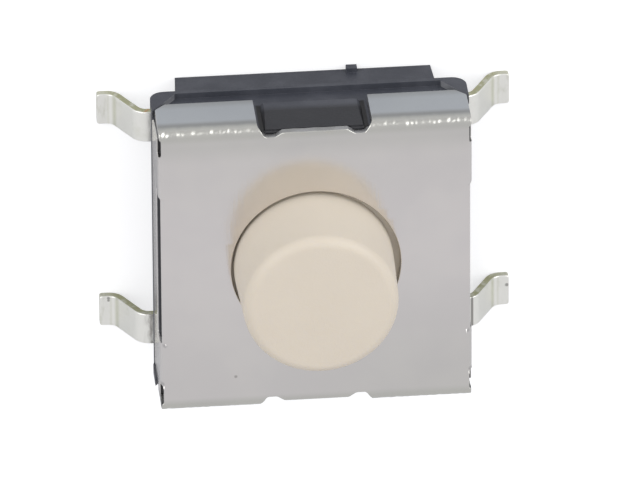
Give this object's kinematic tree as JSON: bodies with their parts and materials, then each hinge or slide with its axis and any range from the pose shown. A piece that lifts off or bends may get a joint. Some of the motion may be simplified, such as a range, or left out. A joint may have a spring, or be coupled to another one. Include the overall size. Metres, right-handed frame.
{
  "type": "tactile push button switch",
  "caption": "Surface-mount tactile push button switch: black moulded base, stamped satin cover, round ivory button and gull-wing solder terminals.",
  "frame": {"origin": "under the centre of the body, on the plane of the solder feet", "axes": "+Z along the button's axis towards the finger, +X towards one pair of terminal tips, +Y towards the face with the moulding gate"},
  "size_m": [0.008, 0.0062, 0.0043],
  "materials": {
    "base_plastic": "charcoal moulded nylon, fine matte skin",
    "silver_plate": "silver-plated brass strip, slightly yellow on its cut edges",
    "dome_steel": "silver-clad spring steel, satin",
    "button_plastic": "ivory moulded plastic, soft gloss",
    "cover_steel": "satin stamped steel with faint rolling grain, bright at the folds"
  },
  "bodies": {
    "housing": {"base": "base_plastic", "contact_frame_centre": "silver_plate", "contact_frame_outer": "silver_plate", "snap_dome": "dome_steel", "cover": "cover_steel"},
    "button_body": {"button": "button_plastic"}
  },
  "joints": [
    {"name": "button_press", "type": "slide", "parent": "housing", "child": "button_body", "axis": [0, 0, -1], "range_m": [0, 0.00025], "stiffness_N_per_m": 5000, "deforming": ["snap_dome"]}
  ]
}
